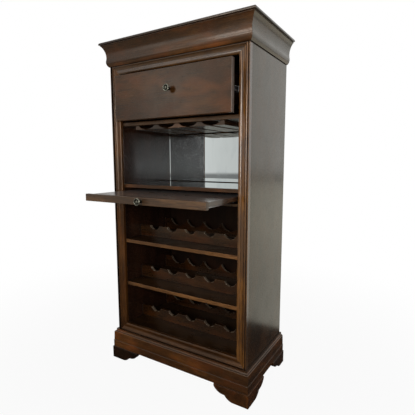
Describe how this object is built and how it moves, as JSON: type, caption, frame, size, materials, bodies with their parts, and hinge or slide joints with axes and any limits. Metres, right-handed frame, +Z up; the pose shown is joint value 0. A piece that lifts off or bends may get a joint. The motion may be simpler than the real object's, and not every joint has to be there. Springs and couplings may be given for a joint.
{
  "type": "bar cabinet",
  "caption": "Tall free-standing wooden bar cabinet with a drawer, a mirrored glass bay with a stemware rack, a pull-out tray and wine racks, on bracket feet.",
  "frame": {"origin": "on the floor, midway between the two sides, and midway between the pulled-out tray's knob and the cabinet's back", "axes": "+Z up, +Y towards the back, so that the front looks along -Y, and +X to the right as seen from the front"},
  "size_m": [0.768, 0.621, 1.5],
  "materials": {
    "stain": "satin lacquer",
    "inside_stain": "satin lacquer",
    "silvered_glass": "polished",
    "antique_brass": "antique",
    "dark_steel": "dark zinc"
  },
  "bodies": {
    "cabinet": {"side_panel_left": "stain", "side_panel_right": "stain", "inner_side_left": "inside_stain", "inner_side_right": "inside_stain", "back_panel": "inside_stain", "top_board": "stain", "crown_front": "stain", "crown_left": "stain", "crown_right": "stain", "frame_stile_left": "stain", "frame_stile_right": "stain", "frame_rail_top": "stain", "frame_rail_bottom": "stain", "base_front": "stain", "base_left": "stain", "base_right": "stain", "base_back": "inside_stain", "foot_front_left": "stain", "foot_front_right": "stain", "foot_rear_left": "stain", "foot_rear_right": "stain", "carcass_floor": "stain", "wine_shelf_lower": "stain", "wine_shelf_upper": "stain", "tray_shelf": "stain", "bar_shelf": "stain", "drawer_shelf": "stain", "mirror_back": "silvered_glass", "mirror_shelf": "silvered_glass", "rack_front_low": "stain", "rack_front_middle": "stain", "rack_front_high": "stain", "rack_rear_low": "stain", "rack_rear_middle": "stain", "rack_rear_high": "stain", "stem_rail_1": "stain", "stem_rail_2": "stain", "stem_rail_3": "stain", "stem_end_left": "stain", "stem_end_right": "stain", "drawer_slide_outer_left": "dark_steel", "drawer_slide_outer_right": "dark_steel", "tray_slide_outer_left": "dark_steel", "tray_slide_outer_right": "dark_steel"},
    "drawer": {"drawer_front": "stain", "drawer_side_left": "inside_stain", "drawer_side_right": "inside_stain", "drawer_back": "inside_stain", "drawer_bottom": "inside_stain", "drawer_knob": "antique_brass", "drawer_slide_inner_left": "dark_steel", "drawer_slide_inner_right": "dark_steel"},
    "drawer_carriage": {"drawer_slide_middle_left": "dark_steel", "drawer_slide_middle_right": "dark_steel"},
    "tray": {"tray_board": "stain", "tray_lip": "stain", "tray_knob": "antique_brass", "tray_slide_inner_left": "dark_steel", "tray_slide_inner_right": "dark_steel"}
  },
  "joints": [
    {"name": "drawer_slide", "type": "slide", "parent": "cabinet", "child": "drawer", "axis": [0, -1, 0], "range_m": [-0.04, 0.26]},
    {"name": "drawer_carriage_slide", "type": "slide", "parent": "cabinet", "child": "drawer_carriage", "axis": [0, -1, 0], "range_m": [-0.02, 0.13]},
    {"name": "tray_slide", "type": "slide", "parent": "cabinet", "child": "tray", "axis": [0, -1, 0], "range_m": [-0.2225, 0.02]}
  ],
  "couplings": [
    {"joint": "drawer_carriage_slide", "follows": "drawer_slide", "ratio": 0.5}
  ]
}
